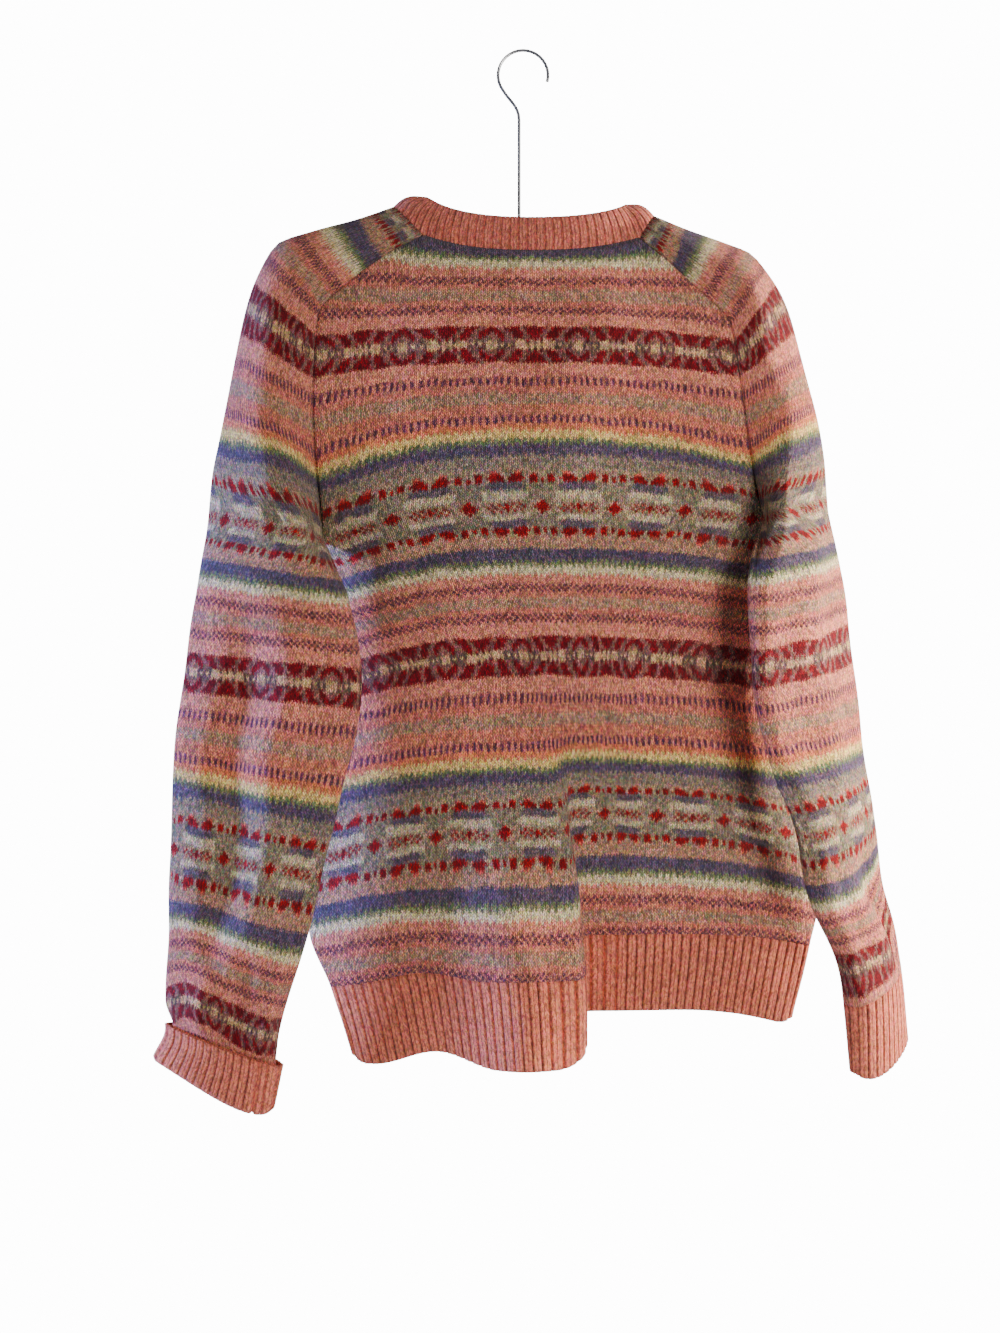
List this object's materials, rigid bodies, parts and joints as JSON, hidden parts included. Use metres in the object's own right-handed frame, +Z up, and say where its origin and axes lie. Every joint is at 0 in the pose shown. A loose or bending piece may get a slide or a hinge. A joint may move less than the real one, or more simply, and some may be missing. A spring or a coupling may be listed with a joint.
{
  "type": "fair isle jumper on a hanger",
  "caption": "Crew neck fair isle wool jumper hanging on a hanger by its wire hook, shown from the back, with one cuff turned back and a stepped fold in the hem.",
  "frame": {"origin": "where the inner top of the hook rests on a rail", "axes": "+Z up, the jumper's back faces -Y and its front +Y, +X is the wearer's right"},
  "size_m": [0.5687, 0.1509, 0.803],
  "materials": {
    "fair_isle_knit": "stranded Shetland wool, lightly felted, in coral, heather, violet, cream, green, yellow and red rows",
    "coral_rib": "ribbed Shetland wool, coral with pale flecks",
    "hanger_bar": "plain satin",
    "hook_wire": "bright drawn wire"
  },
  "bodies": {
    "root": {"back": "fair_isle_knit", "front": "fair_isle_knit", "sleeve_left": "fair_isle_knit", "sleeve_right": "fair_isle_knit", "neckband": "coral_rib", "hem_rib_back": "coral_rib", "hem_rib_front": "coral_rib", "cuff_left": "coral_rib", "cuff_right": "coral_rib", "hanger": "hanger_bar", "hanger_hook": "hook_wire"}
  },
  "joints": []
}
